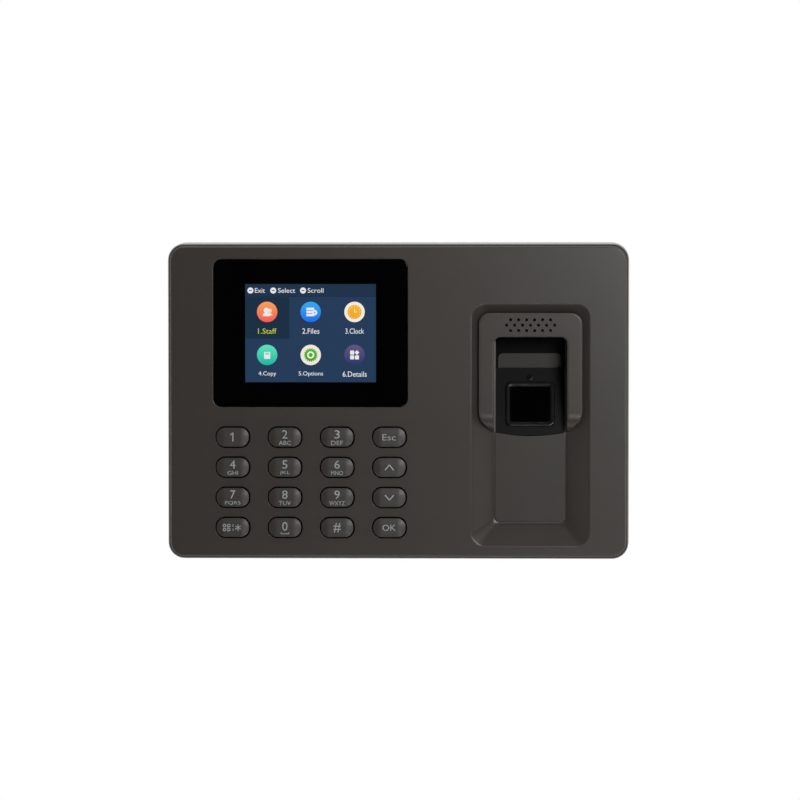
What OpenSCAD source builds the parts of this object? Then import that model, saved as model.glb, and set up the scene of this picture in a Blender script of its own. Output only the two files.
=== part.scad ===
// Wall-mounted fingerprint terminal: display, sixteen-key pad, hooded optical sensor.
// Modules draw in a plan frame: x to the right, y up the wall, z out from the wall.
// stand() turns that frame so that the wall is the plane Y = 0 and the face looks along -Y.

/* [Body] */
// Width of the front face
face_w = 170; // [168:0.5:172]
// Height of the front face
face_h = 115.6; // [114.6:0.1:117.6]
// Corner radius of the front face
face_r = 5.2; // [4:0.1:6]
// Distance from the wall to the front face
face_z = 32; // [32:0.1:32.6]
// How much wider and taller the casing is at the parting line
flare = 3.8; // [3.2:0.1:4]
// Distance from the wall to the parting line between the covers
parting_z = 14; // [13.8:0.1:14.2]
// Thickness of the side walls
wall = 2.4; // [2:0.1:2.6]
// Thickness of the front wall
front_t = 2.4; // [2.2:0.1:2.5]

/* [Display] */
// Centre of the display, right of the body's centre
lcd_x = -32.6; // [-33.2:0.1:-32.2]
// Centre of the display above the body's centre
lcd_y = 25.5; // [25:0.1:26]
// Width of the glass window
lens_w = 72.4; // [71:0.1:73]
// Height of the glass window
lens_h = 55; // [54:0.1:55.6]
// Corner radius of the glass window
lens_r = 2.8; // [2:0.1:4]
// Width of the picture
active_w = 48.96; // [48:0.01:49.4]
// Height of the picture
active_h = 36.72; // [36:0.01:37]

/* [Keypad] */
// Distance between key columns
key_pitch_x = 19.5; // [19:0.1:19.6]
// Distance between key rows
key_pitch_y = 11.25; // [11:0.05:11.3]
// Centre of the keypad above the body's centre
pad_y = -30.2; // [-30.4:0.1:-30]
// Width of a key cap
key_w = 12.3; // [11.8:0.1:12.5]
// Height of a key cap
key_h = 7.3; // [7:0.1:7.5]
// Corner radius of a key cap
key_r = 3.3; // [2.5:0.1:3.5]
// Gap between a key and its hole
key_gap = 0.32; // [0.25:0.01:0.4]
// Travel of a key
key_travel = 0.8; // [0.5:0.1:0.9]

/* [Sensor] */
// Centre of the sensor, right of the body's centre
fp_x = 49.4; // [49:0.1:50]
// Width of the finger recess
recess_w = 43.8; // [43:0.1:44.4]
// Height of the finger recess
recess_h = 90; // [89:0.1:91]
// Centre of the finger recess above the body's centre
recess_y = -8.8; // [-9.4:0.1:-8.4]
// Depth of the finger recess
recess_d = 5; // [4.6:0.1:5.2]
// Width of the recess's sloping walls
slope_w = 8.2; // [7.8:0.1:8.4]
// Width of the hood
hood_w = 38.5; // [38:0.1:39]
// Top of the hood above the body's centre
hood_top = 33; // [32.6:0.1:33.2]
// How far the hood stands out from the front face
hood_proud = 1; // [0.6:0.1:1.4]
// Width of the opening in the hood
mouth_w = 26.8; // [26.4:0.1:27]
// Top of the opening in the hood
mouth_top = 24; // [23.8:0.1:24.2]
// Slope of the sensor face
tilt = 20; // [19:0.5:21]

/* [Mount] */
// Spacing of the wall screws across
wall_pitch_x = 66; // [65:0.5:67]
// Spacing of the wall screws up the wall
wall_pitch_y = 60; // [58:0.5:62]
// Diameter of the wall screw holes
wall_hole_d = 4.5; // [4:0.1:5]
// Thickness of the wall plate
plate_t = 1.2; // [1:0.1:1.4]

/* [Hidden] */
$fn = 48;
thin = 0.01;
fit = 0.15;

mid_w = face_w + flare;
mid_h = face_h + flare;
back_w = mid_w - 1.6;
back_h = mid_h - 1.6;
back_z = 0.4;
back_t = 2.2;
inner_z = face_z - front_t;
ledge_z = face_z - 1.8;
ledge_t = 1;
lens_t = 1.5;
tape_t = 0.2;

lcd_w = 60.3;
lcd_h = 42.7;
lcd_t = 2.4;
foam_t = 0.5;
lcd_z = ledge_z - ledge_t - foam_t - lcd_t;
pcb_t = 1.6;
front_pcb_z = lcd_z - 1.3 - pcb_t;
front_pcb = [-74.5, -53.5, 84.5, 106];
sheet_z = front_pcb_z + pcb_t;
sheet_t = 1;
dome_top_z = sheet_z + 2.8;
flange_w = 14.5;
flange_h = 9.4;
flange_t = 0.8;
flange_z = inner_z - 0.1 - flange_t;
key_edge_z = face_z + 0.75;
key_top_z = face_z + 1.2;

main_pcb_z = 13;
main_pcb = [-73.5, -54, 95.5, 103];
main_top_z = main_pcb_z + pcb_t;

floor_z = face_z - recess_d;
ramp_z = floor_z + 0.5;
ramp_w = recess_w - 2 * slope_w;
skin = 2.2;
hood_z = face_z + hood_proud;
hood_bend_y = -3.5;
hood_foot_y = -4;
hood_foot_r = 6;
hood_foot_turn = 46;
hood_foot_run = 4.4;
smile_drop = 1.6;
well_z = 17;
well_t = 2;
well_open_y = 12.3;
band_w = 23.8;
band_top = 17.9;

slope_y = -1.25;
slope_z = 22.87;
holder_t = 1.6;
window_w = 14.4;
window_h = 13.7;
ring_w = 18.5;
ring_h = 17.7;
ring_t = 0.9;
prism_h = 15;
leg_cut = 4.5;

cover_posts = [for (x = [-78, 78], y = [-51, 51]) [x, y]];
front_pcb_posts = [for (x = [-71.6, 6.9], y = [-50.4, -4.6, 49.4]) [x, y]];
main_pcb_posts = [[-68, 44], [17, 44], [-68, -30], [17, -30]];
sensor_pcb = [43.5, -31, 25, 45];
sensor_pcb_z = 7;
sensor_pcb_posts = [for (x = [46, 66], y = [-28.5, 11.5]) [x, y]];
housing_posts = [for (x = [-17.7, 17.7], y = [-7.6, 5.6]) [fp_x + x, y]];
speaker_posts = [for (x = [-16.4, 16.4]) [fp_x + x, 34.4]];

plate_w = 76;
plate_top = 42;
plate_bottom = -54;
pocket_z = 3.4;
pocket_w = 79;
tab_w = 14;
hook_places = [for (x = [-21, 21], y = [26, -36]) [x, y]];
lock_z = 5.4;

usb_x = -63;
usb_size = [13.1, 14.3, 5.7];
usb_mouth_y = -58.4;
jack_x = -47.5;
jack_size = [9, 14, 9.4];
reset_at = [-60, 20];
battery_at = [-8, -10];
speaker_y = 32.4;
speaker_z = 18.2;

// Turns the plan frame so that the wall is the plane Y = 0.
module stand() {
    rotate([90, 0, 0]) children();
}

// Flat rectangle with rounded corners, centred.
module rounded(w, h, r) {
    square([w - 2 * r, h], center = true);
    square([w, h - 2 * r], center = true);
    for (x = [-1, 1], y = [-1, 1]) {
        translate([x * (w / 2 - r), y * (h / 2 - r)]) circle(r);
    }
}

// Rounded block between two distances from the wall.
module slab(w, h, r, z0, z1) {
    translate([0, 0, z0]) linear_extrude(z1 - z0) rounded(w, h, r);
}

// Block that tapers from one rounded outline to another.
module taper(w0, h0, r0, z0, w1, h1, r1, z1) {
    hull() {
        slab(w0, h0, r0, z0, z0 + thin, $fn = 32);
        slab(w1, h1, r1, z1 - thin, z1, $fn = 32);
    }
}

// Box from its lowest corner and size in plan, between two distances from the wall.
module board(b, z0, z1) {
    translate([b[0], b[1], z0]) cube([b[2], b[3], z1 - z0]);
}

// Box centred on a point in plan.
module block(p, w, h, z0, z1) {
    translate([p[0] - w / 2, p[1] - h / 2, z0]) cube([w, h, z1 - z0]);
}

module rod(p, d, z0, z1) {
    translate([p[0], p[1], z0]) cylinder(d = d, h = z1 - z0);
}

module tube(p, d_out, d_in, z0, z1) {
    difference() {
        rod(p, d_out, z0, z1);
        rod(p, d_in, z0 - 1, z1 + 1);
    }
}

// Cross-head screw: the head bears at seat_z and the shank runs to tip_z.
module screw(p, d, head_d, head_t, seat_z, tip_z) {
    out = sign(tip_z - seat_z);
    head_z = seat_z - out * head_t;
    difference() {
        union() {
            rod(p, d, min(seat_z - out * 0.2, tip_z), max(seat_z - out * 0.2, tip_z));
            rod(p, head_d, min(seat_z, head_z), max(seat_z, head_z));
        }
        for (turn = [0, 90]) {
            translate([p[0], p[1], head_z]) rotate(turn) {
                cube([head_d * 0.62, head_d * 0.16, head_t], center = true);
            }
        }
    }
}

// Place of a key, counted in reading order, four to a row.
function key_at(i) = [
    lcd_x + 0.2 + (i % 4 - 1.5) * key_pitch_x,
    pad_y + (1.5 - floor(i / 4)) * key_pitch_y
];

function arc(cx, cy, r, from, to, steps) = [
    for (i = [0:steps]) let (a = from + (to - from) * i / steps)
        [cx + r * cos(a), cy + r * sin(a)]
];

function mirrored(points) = [
    for (i = [len(points) - 1:-1:0]) [-points[i][0], points[i][1]]
];

// Right half of the hood's outline, from its foot to the middle of its top.
function hood_half(grow) = let (
    foot = arc(hood_w / 2 - hood_foot_r, hood_foot_y, hood_foot_r + grow, -hood_foot_turn, 0, 10)
) concat(
    [foot[0] - hood_foot_run * [sin(hood_foot_turn), cos(hood_foot_turn)]],
    foot,
    arc(hood_w / 2 - 4, hood_top - 4, 4 + grow, 0, 90, 8)
);

// Curve between the hood's feet, which is also the top edge of the finger ramp.
function smile(grow) = let (
    foot = hood_half(grow)[0],
    r = (foot[0] * foot[0] + smile_drop * smile_drop) / (2 * smile_drop),
    span = asin(foot[0] / r)
) arc(0, foot[1] - smile_drop + r, r, -90 - span, -90 + span, 12);

module hood_outline(grow) {
    translate([fp_x, 0]) {
        polygon(concat(smile(grow), hood_half(grow), mirrored(hood_half(grow))));
    }
}

// Side view of the hood: flat face, then a rounded fall to the ramp.
module hood_side(drop) {
    fall = hood_z - floor_z + 0.4;
    reach = 8;
    points = concat(
        [[60, 0], [60, hood_z - drop], [hood_bend_y, hood_z - drop]],
        [for (i = [1:12]) let (a = i * 7.5) [
            hood_bend_y - (reach - drop * 0.6) * sin(a),
            hood_z - fall + (fall - drop) * cos(a)
        ]],
        [[hood_bend_y - reach + drop * 0.6, 0]]
    );
    translate([fp_x - 40, 0, 0]) rotate([90, 0, 90]) linear_extrude(80) polygon(points);
}

module hood_solid() {
    intersection() {
        translate([0, 0, floor_z - skin]) linear_extrude(20) hood_outline(0);
        hood_side(0);
    }
}

// Hollow inside the hood, around the walls of its mouth.
module hood_hollow() {
    difference() {
        intersection() {
            translate([0, 0, 5]) linear_extrude(30) hood_outline(-skin);
            hood_side(skin);
        }
        mouth(1.8, 5, 40);
    }
}

// Opening of the hood, cut off below by the ramp's curved edge.
module mouth(grow, z0, z1) {
    half = mouth_w / 2 + grow;
    intersection() {
        translate([0, 0, z0]) linear_extrude(z1 - z0) translate([fp_x, 0]) {
            polygon(concat(
                [[half, -20]],
                arc(half - 2.5 - grow, mouth_top - 2.5, 2.5 + grow, 0, 90, 6),
                mirrored(arc(half - 2.5 - grow, mouth_top - 2.5, 2.5 + grow, 0, 90, 6)),
                [[-half, -20]]
            ));
        }
        translate([0, 0, z0]) linear_extrude(z1 - z0) hood_outline(0);
    }
}

// Places children on the sensor face: x across, y up the slope, z out of it.
module on_slope() {
    translate([fp_x, slope_y, slope_z]) rotate([-tilt, 0, 0]) children();
}

// Places children on a leg of the prism: z points away from the glass.
module on_leg(side) {
    on_slope() translate([0, side * prism_h / 4, 0.3 - prism_h / 4]) {
        rotate([-side * 135, 0, 0]) children();
    }
}

module front_shell() {
    difference() {
        taper(mid_w, mid_h, face_r + 1.6, parting_z, face_w, face_h, face_r, face_z);
        taper(mid_w - 2 * wall, mid_h - 2 * wall, face_r - 0.8, parting_z - thin,
            face_w - 2 * wall, face_h - 2 * wall, face_r - 2.2, inner_z);
        difference() {
            slab(mid_w + 9, mid_h + 9, 1, face_z - 1.5, face_z - 1.1);
            slab(face_w - 0.4, face_h - 0.4, face_r - 0.2, face_z - 2, face_z);
        }
    }
}

module recess_backing() {
    translate([fp_x, recess_y, 0]) {
        taper(ramp_w + 3.2, recess_h - 2 * slope_w + 3.2, 3, floor_z - skin,
            recess_w + 3.2, recess_h + 3.2, 6, inner_z + 1);
    }
}

module recess_hollow() {
    translate([fp_x, recess_y, 0]) {
        taper(ramp_w, recess_h - 2 * slope_w, 2, floor_z,
            recess_w + 0.6, recess_h + 0.6, 5.3, face_z + 0.2);
    }
}

module finger_ramp() {
    low = recess_y - recess_h / 2 + slope_w + 0.45;
    translate([fp_x, (low - 9) / 2, 0]) {
        slab(ramp_w - 0.9, -9 - low, 1.8, floor_z - 1, ramp_z);
    }
}

// Walls and back of the well behind the hood's mouth.
module well_walls() {
    mouth(1.8, well_z, face_z - 0.5);
    intersection() {
        mouth(1.8, well_z - well_t, well_z + thin);
        translate([fp_x, well_open_y + 20, 0]) cube([60, 40, 60], center = true);
    }
}

module well_hollow() {
    mouth(0, well_z, face_z + 5);
    intersection() {
        mouth(0, 5, well_z + thin);
        translate([fp_x, well_open_y - 20, 0]) cube([60, 40, 60], center = true);
    }
}

module speaker_holes() {
    for (row = [-1:1], i = [0:6]) {
        x = (i - 3) * 2.97 + (row == 0 ? 0 : 1.485);
        if (row == 0 || i < 6) rod([fp_x + x, 28.47 + row * 2.02], 1.1, inner_z - 2, face_z + 3, $fn = 16);
    }
}

module lcd_walls() {
    translate([lcd_x, lcd_y, 0]) {
        slab(lens_w + 4, lens_h + 1, 4, ledge_z - ledge_t, inner_z + 1);
        difference() {
            slab(lcd_w + 3.4, lcd_h + 3.4, 1, lcd_z + 0.5, inner_z);
            slab(lcd_w + 0.6, lcd_h + 0.6, 0.5, lcd_z, ledge_z - ledge_t);
        }
    }
}

module front_cover() {
    color("#46413c") difference() {
        union() {
            front_shell();
            recess_backing();
            hood_solid();
            well_walls();
            lcd_walls();
            for (p = cover_posts) rod(p, 6.4, parting_z, inner_z + 0.5);
            for (p = front_pcb_posts) rod(p, 4.4, sheet_z, inner_z + 0.5);
            for (p = housing_posts) rod(p, 4.2, well_z, face_z - 0.5);
            for (p = speaker_posts) rod(p, 4.2, speaker_z + 2, floor_z);
        }
        difference() {
            recess_hollow();
            hood_solid();
            finger_ramp();
        }
        difference() {
            hood_hollow();
            for (p = housing_posts) rod(p, 4.2, well_z, hood_z);
        }
        well_hollow();
        speaker_holes();
        for (p = cover_posts) rod(p, 2.24, parting_z - 1, inner_z - 1);
        for (p = front_pcb_posts) rod(p, 2.04, sheet_z - 1, inner_z + 0.4);
        for (p = housing_posts) rod(p, 2.04, well_z - 1, well_z + 6);
        for (p = speaker_posts) rod(p, 2.04, speaker_z, floor_z - 1.8);
        translate([lcd_x, lcd_y, 0]) {
            slab(lens_w + 0.3, lens_h + 0.3, lens_r + 0.15, ledge_z, face_z + 1);
            slab(active_w + 3, active_h + 3, 1, ledge_z - 3, face_z);
        }
        for (i = [0:15]) translate(key_at(i)) {
            slab(key_w + 2 * key_gap, key_h + 2 * key_gap, key_r + key_gap, inner_z - 1, face_z + 1);
        }
    }
}

// Box-shaped lug inside the rear cover that houses the bracket's locking tab.
module lock_box() {
    block([0, -54.4], 21.6, 9.6, back_z, 10.4);
}

module rear_cover() {
    post_low = pocket_z + 0.6;
    color("#403c38") difference() {
        union() {
            difference() {
                taper(back_w, back_h, face_r + 1.2, back_z, mid_w, mid_h, face_r + 1.6, parting_z);
                taper(back_w - 2 * back_t, back_h - 2 * back_t, 4.2, back_z + back_t,
                    mid_w - 2 * back_t, mid_h - 2 * back_t, 4.6, parting_z + thin);
            }
            difference() {
                union() {
                    slab(mid_w - 2.6, mid_h - 2.6, 5.2, 11.5, parting_z);
                    slab(mid_w - 2 * wall - 0.4, mid_h - 2 * wall - 0.4, 4.2, 12, parting_z + 1.5);
                }
                slab(mid_w - 7.6, mid_h - 7.6, 3, 10, 17);
            }
            block([0, -6.3], pocket_w + 4.4, 101.6, back_z + 0.5, pocket_z + back_t);
            lock_box();
            for (p = cover_posts) rod(p, 7.4, back_z + 1, parting_z);
            for (p = main_pcb_posts) rod(p, 5, abs(p[0]) < 40 ? post_low : back_z + 1, main_pcb_z);
            for (p = sensor_pcb_posts) rod(p, 4.4, back_z + 1, sensor_pcb_z);
        }
        block([0, -6.3], pocket_w, 97.2, -1, pocket_z);
        block([0, -53.2], 17.2, 7.6, -1, 8.6);
        for (p = hook_places) block([p[0], p[1] - 3.1], tab_w + 1, 6.4, 0, 7);
        for (p = cover_posts) {
            rod(p, 2.9, -1, parting_z + 1);
            rod(p, 5.2, -1, 9);
        }
        for (p = main_pcb_posts) rod(p, 2.04, main_pcb_z - 6, main_pcb_z + 1);
        for (p = sensor_pcb_posts) rod(p, 1.84, back_z + 2, sensor_pcb_z + 1);
        rod(reset_at, 2.6, -1, 5);
        translate([0, -50, lock_z]) rotate([90, 0, 0]) cylinder(d = 3.4, h = 12);
        translate([0, -58, lock_z]) rotate([90, 0, 0]) cylinder(d = 6.4, h = 4);
        block([usb_x, -58], usb_size[0] + 0.6, 8, main_pcb_z - usb_size[2] - 0.3, main_pcb_z + 0.3);
        block([jack_x, -58], jack_size[0] + 0.6, 8, main_pcb_z - jack_size[2] - 0.3, main_pcb_z + 0.3);
        for (x = [-5:5]) {
            translate([40 + x * 3.2, 60, 8]) cube([1.4, 12, 5], center = true);
        }
    }
}

module display_window() {
    color("#050505") translate([lcd_x, lcd_y, 0]) {
        slab(lens_w, lens_h, lens_r, ledge_z + tape_t, ledge_z + tape_t + lens_t);
    }
}

module window_tape() {
    color("#1a1a1a") translate([lcd_x, lcd_y, 0]) difference() {
        slab(lens_w - 0.4, lens_h - 0.4, lens_r, ledge_z, ledge_z + tape_t);
        slab(active_w + 4, active_h + 4, 1, ledge_z - 1, ledge_z + 1);
    }
}

module lcd_panel() {
    color("#27405c") translate([lcd_x, lcd_y, 0]) {
        slab(lcd_w - 1.4, lcd_h - 1.4, 0.3, lcd_z + 0.5, lcd_z + lcd_t);
    }
}

module lcd_frame() {
    color("#c8cace") translate([lcd_x, lcd_y, 0]) {
        difference() {
            slab(lcd_w, lcd_h, 0.5, lcd_z, lcd_z + lcd_t - 0.2);
            slab(lcd_w - 1.2, lcd_h - 1.2, 0.3, lcd_z + 0.45, lcd_z + 9);
        }
        for (x = [-1, 1], y = [-1, 1]) {
            block([x * 28.4, y * 19.6], 3, 3, sheet_z, lcd_z);
        }
    }
}

module lcd_foam() {
    color("#2c2c2c") translate([lcd_x, lcd_y, 0]) difference() {
        slab(lcd_w - 1.6, lcd_h - 1.6, 0.5, lcd_z + lcd_t, lcd_z + lcd_t + foam_t);
        slab(active_w + 3, active_h + 3, 1, lcd_z, ledge_z);
    }
}

// Flat cable from behind the display to its socket on the front board.
module lcd_flex() {
    low = lcd_y - lcd_h / 2;
    color("#c07a2c") block([lcd_x, low - 0.9], 18, 9.8, sheet_z + 1.1, lcd_z);
}

module front_board() {
    color("#1f5a36") difference() {
        board(front_pcb, front_pcb_z, sheet_z);
        for (p = front_pcb_posts) rod(p, 2.4, front_pcb_z - 1, sheet_z + 1);
        for (p = cover_posts) rod(p, 9, front_pcb_z - 1, sheet_z + 1);
    }
}

// Display socket, driver chip and small parts on the front board.
module front_board_parts() {
    low = lcd_y - lcd_h / 2;
    color("#e6e2d6") block([lcd_x, low - 5], 20, 2.4, sheet_z, sheet_z + 1.1);
    color("#1b1b1d") {
        block([-40, 30], 12, 12, front_pcb_z - 1.2, front_pcb_z);
        block([-12, 34], 7, 5, front_pcb_z - 1.4, front_pcb_z);
    }
    color("#b59a6a") for (i = [0:6]) {
        block([-62 + i * 4, 14], 1.6, 0.8, front_pcb_z - 0.7, front_pcb_z);
    }
}

module keypad_membrane() {
    color("#d9d6cc") difference() {
        union() {
            translate([lcd_x + 0.2, pad_y, 0]) slab(82.6, 45.6, 2, sheet_z, sheet_z + sheet_t);
            for (i = [0:15]) translate(key_at(i)) translate([0, 0, sheet_z + sheet_t]) {
                cylinder(d1 = 6.6, d2 = 4.4, h = dome_top_z - sheet_z - sheet_t);
            }
        }
        for (i = [0:15]) translate(key_at(i)) {
            translate([0, 0, sheet_z - thin]) cylinder(d1 = 5.6, d2 = 3.6, h = 2.2);
        }
        for (p = front_pcb_posts) rod(p, 4.9, sheet_z - 1, sheet_z + 3);
    }
}

// Domed key cap on a flange that keeps it behind the front wall.
module key_cap(i) {
    color("#46413c") translate(key_at(i)) {
        slab(flange_w, flange_h, 1.2, flange_z, flange_z + flange_t);
        slab(5, 4, 1, dome_top_z + 0.1, flange_z);
        slab(key_w, key_h, key_r, flange_z + flange_t, key_edge_z);
        taper(key_w, key_h, key_r, key_edge_z - thin, key_w - 2.4, key_h - 2, key_r - 1.1, key_top_z);
    }
}

module key_1() { key_cap(0); }
module key_2() { key_cap(1); }
module key_3() { key_cap(2); }
module key_esc() { key_cap(3); }
module key_4() { key_cap(4); }
module key_5() { key_cap(5); }
module key_6() { key_cap(6); }
module key_up() { key_cap(7); }
module key_7() { key_cap(8); }
module key_8() { key_cap(9); }
module key_9() { key_cap(10); }
module key_down() { key_cap(11); }
module key_menu() { key_cap(12); }
module key_0() { key_cap(13); }
module key_hash() { key_cap(14); }
module key_ok() { key_cap(15); }

module main_board() {
    color("#1d5533") difference() {
        board(main_pcb, main_pcb_z, main_top_z);
        for (p = main_pcb_posts) rod(p, 2.4, main_pcb_z - 1, main_top_z + 1);
        for (p = cover_posts) rod(p, 9, main_pcb_z - 1, main_top_z + 1);
    }
}

// Processor, memories and network chip on the side that faces the front board.
module main_board_chips() {
    color("#19191b") {
        block([-34, 12], 14, 14, main_top_z, main_top_z + 1.4);
        block([-52, 14], 8, 12, main_top_z, main_top_z + 1.2);
        block([-34, 30], 12, 8, main_top_z, main_top_z + 1.2);
        block([-12, 28], 9, 9, main_top_z, main_top_z + 1.6);
        block([-10, 8], 6, 5, main_top_z, main_top_z + 1.5);
        block([-44, -32], 7, 5, main_top_z, main_top_z + 1.5);
    }
}

// Coils, capacitors, crystal and sounder on the main board.
module main_board_parts() {
    color("#5a5a5c") for (x = [-60, -46]) block([x, -22], 7, 7, main_top_z, main_top_z + 3.6);
    color("#2b3a55") for (x = [-62, -52, -30]) rod([x, -40], 6.3, main_top_z, main_top_z + 7);
    color("#c9cbd0") block([-22, -20], 11, 4.4, main_top_z, main_top_z + 3.4);
    color("#131313") tube([-2, -26], 12, 2, main_top_z, main_top_z + 6.8);
    color("#b59a6a") for (i = [0:9]) {
        block([-58 + i * 5, -8], 1.6, 0.8, main_top_z, main_top_z + 0.7);
    }
}

// Pin header and socket that join the two boards.
module board_header() {
    color("#111111") difference() {
        block([-38, 42], 38.6, 5, main_top_z, front_pcb_z);
        block([-38, 42], 40, 6, main_top_z + 5.8, main_top_z + 5.9);
    }
}

// Wire sockets for the sensor, the speaker, the door and the network.
module wire_connectors() {
    color("#ece8dc") {
        block([18.5, 12], 5.6, 10, main_top_z, main_top_z + 6);
        block([18.5, 0], 5.6, 6, main_top_z, main_top_z + 6);
        for (x = [-24, 6]) block([x, -50], 22, 6.4, main_top_z, main_top_z + 6);
    }
}

module usb_socket() {
    color("#c4c7cc") difference() {
        block([usb_x, usb_mouth_y + 7.15], usb_size[0], usb_size[1], main_pcb_z - usb_size[2], main_pcb_z);
        block([usb_x, usb_mouth_y + 5.5], usb_size[0] - 0.7, 11.6,
            main_pcb_z - usb_size[2] + 0.35, main_pcb_z - 0.35);
    }
}

module usb_tongue() {
    color("#f1f1ee") block([usb_x, usb_mouth_y + 6.3], 11.1, 10, main_pcb_z - 2.4, main_pcb_z - 0.5);
}

module power_jack() {
    z = main_pcb_z - jack_size[2] / 2;
    color("#141414") difference() {
        block([jack_x, usb_mouth_y + 7], jack_size[0], jack_size[1], main_pcb_z - jack_size[2], main_pcb_z);
        translate([jack_x, usb_mouth_y + 10, z]) rotate([90, 0, 0]) cylinder(d = 6.3, h = 12);
    }
    color("#d8d9dc") translate([jack_x, usb_mouth_y + 10.1, z]) {
        rotate([90, 0, 0]) cylinder(d = 2, h = 9);
    }
}

module battery_holder() {
    color("#181818") translate([battery_at[0], battery_at[1], 0]) difference() {
        slab(25, 25, 4, main_pcb_z - 5, main_pcb_z);
        rod([0, 0], 20.6, main_pcb_z - 6, main_pcb_z - 1);
    }
}

module clock_battery() {
    color("#cfd1d4") {
        rod(battery_at, 20, main_pcb_z - 4.4, main_pcb_z - 1.2);
        rod(battery_at, 17.6, main_pcb_z - 1.25, main_pcb_z - 1);
    }
}

module reset_switch() {
    color("#2a2a2c") difference() {
        block(reset_at, 6, 6, main_pcb_z - 3.6, main_pcb_z);
        rod(reset_at, 3.9, main_pcb_z - 4, main_pcb_z - 1.4);
    }
}

module reset_plunger() {
    color("#c8372d") rod(reset_at, 3.2, main_pcb_z - 5.4, main_pcb_z - 1.8);
}

module board_screws() {
    color("#b9bcc1") {
        for (p = main_pcb_posts) screw(p, 2, 4.2, 1.4, main_top_z, main_pcb_z - 4.5);
        for (p = sensor_pcb_posts) screw(p, 1.8, 3.6, 1.2, sensor_pcb_z + pcb_t, sensor_pcb_z - 3.5);
    }
}

module front_board_screws() {
    color("#b9bcc1") for (p = front_pcb_posts) screw(p, 2, 4, 1.3, front_pcb_z, sheet_z + 4);
}

// Black holder in the hood's mouth: sloping face, raised ring and a frame over the well's back.
module sensor_holder() {
    color("#0c0c0d") difference() {
        union() {
            intersection() {
                on_slope() translate([-30, -30, -holder_t]) cube([60, 44.6, holder_t]);
                holder_outline();
            }
            intersection() {
                translate([fp_x - 30, well_open_y - 0.6, well_z + 0.1]) cube([60, 30, 0.7]);
                holder_outline();
            }
            on_slope() translate([0, 0, -0.2]) linear_extrude(ring_t + 0.2) rounded(ring_w, ring_h, 2);
            on_slope() rod([0, 10.6], 2.6, -0.3, 0.35);
        }
        on_slope() {
            translate([0, 0, -5]) linear_extrude(10) {
                square([window_w, prism_h + 0.1], center = true);
            }
            rod([0, 10.6], 1.3, -5, 5);
        }
        translate([fp_x, (well_open_y + band_top) / 2, 0]) {
            slab(band_w, band_top - well_open_y, 1.3, well_z - 1, well_z + 2);
            block([0, -2.1], band_w, 1.4, well_z - 1, well_z + 2);
        }
    }
}

module holder_outline() {
    difference() {
        mouth(-fit, 5, 40);
        translate([0, 0, 4]) linear_extrude(40) difference() {
            translate([fp_x - 20, -20]) square([40, 20]);
            translate([0, fit]) hood_outline(0);
        }
    }
}

module sensor_led() {
    color("#7a1512") on_slope() rod([0, 10.6], 1.2, -1.4, 0.3);
}

// Right-angled glass prism; its long face is the finger window.
module sensor_prism() {
    color("#0a0d12") on_slope() translate([-window_w / 2 + 0.1, 0, 0.3]) rotate([90, 0, 90]) {
        linear_extrude(window_w - 0.2) polygon([
            [-prism_h / 2, 0], [prism_h / 2, 0], [0, -prism_h / 2]
        ]);
    }
}

// Block that holds the prism, the light board and the lens barrel.
module sensor_housing() {
    color("#101011") difference() {
        union() {
            on_slope() translate([-10, -10.6, -9.6]) cube([20, 21.2, 9.6 - holder_t]);
            on_leg(-1) cylinder(d = 10, h = 12.6);
            block([fp_x, -1], 40.2, 17.2, well_z - 1.6, well_z - 0.05);
        }
        on_slope() translate([-20, -20, -holder_t]) cube([40, 40, 10]);
        on_slope() translate([-window_w / 2, 0, 0.3]) rotate([90, 0, 90]) {
            linear_extrude(window_w) polygon([
                [-prism_h / 2, 0], [prism_h / 2, 0], [0, -prism_h / 2]
            ]);
        }
        on_leg(-1) translate([0, 0, -0.5]) cylinder(d = 7.1, h = 20);
        on_leg(-1) translate([-8, -8, 12]) cube([16, 16, 9]);
        on_leg(1) translate([-6, -leg_cut, -0.5]) cube([12, 2 * leg_cut, 4]);
        on_leg(1) translate([-12, -9, 3]) cube([24, 18, 20]);
        for (p = housing_posts) rod(p, 2.4, 5, 20);
    }
}

module sensor_screws() {
    color("#b9bcc1") for (p = housing_posts) screw(p, 2, 4, 1.3, well_z - 1.6, well_z + 4.5);
}

// Lens barrel with two glass elements.
module sensor_lens() {
    color("#202022") on_leg(-1) difference() {
        translate([0, 0, 4.5]) cylinder(d = 7, h = 5);
        translate([0, 0, 4]) cylinder(d = 4.4, h = 6);
    }
    color("#9fb4c4") on_leg(-1) {
        translate([0, 0, 5]) cylinder(d = 4.4, h = 1.4);
        translate([0, 0, 7.6]) cylinder(d = 4.4, h = 1.4);
    }
}

module camera_board() {
    color("#1d5533") on_leg(-1) translate([-6, -6, 12]) cube([12, 12, 1]);
    color("#15151a") on_leg(-1) translate([-2.4, -2.4, 11]) cube([4.8, 4.8, 1]);
}

// Small board with the lamps that light the prism from behind.
module light_board() {
    color("#1d5533") on_leg(1) translate([-9, -5, 3]) cube([18, 10, 1]);
    color("#f0e9d2") on_leg(1) for (x = [-4, 0, 4], y = [-2.4, 1.6]) {
        translate([x - 0.8, y - 0.4, 2.3]) cube([1.6, 0.8, 0.7]);
    }
}

module sensor_board() {
    color("#1d5533") difference() {
        board(sensor_pcb, sensor_pcb_z, sensor_pcb_z + pcb_t);
        for (p = sensor_pcb_posts) rod(p, 2.2, sensor_pcb_z - 1, sensor_pcb_z + 3);
    }
    color("#19191b") {
        block([60, -18], 8, 8, sensor_pcb_z + pcb_t, sensor_pcb_z + pcb_t + 1.2);
        block([58, -4], 7, 7, sensor_pcb_z - 1.2, sensor_pcb_z);
    }
    color("#ece8dc") block([55, 10.5], 12, 4.6, sensor_pcb_z + pcb_t, sensor_pcb_z + pcb_t + 3);
}

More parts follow.
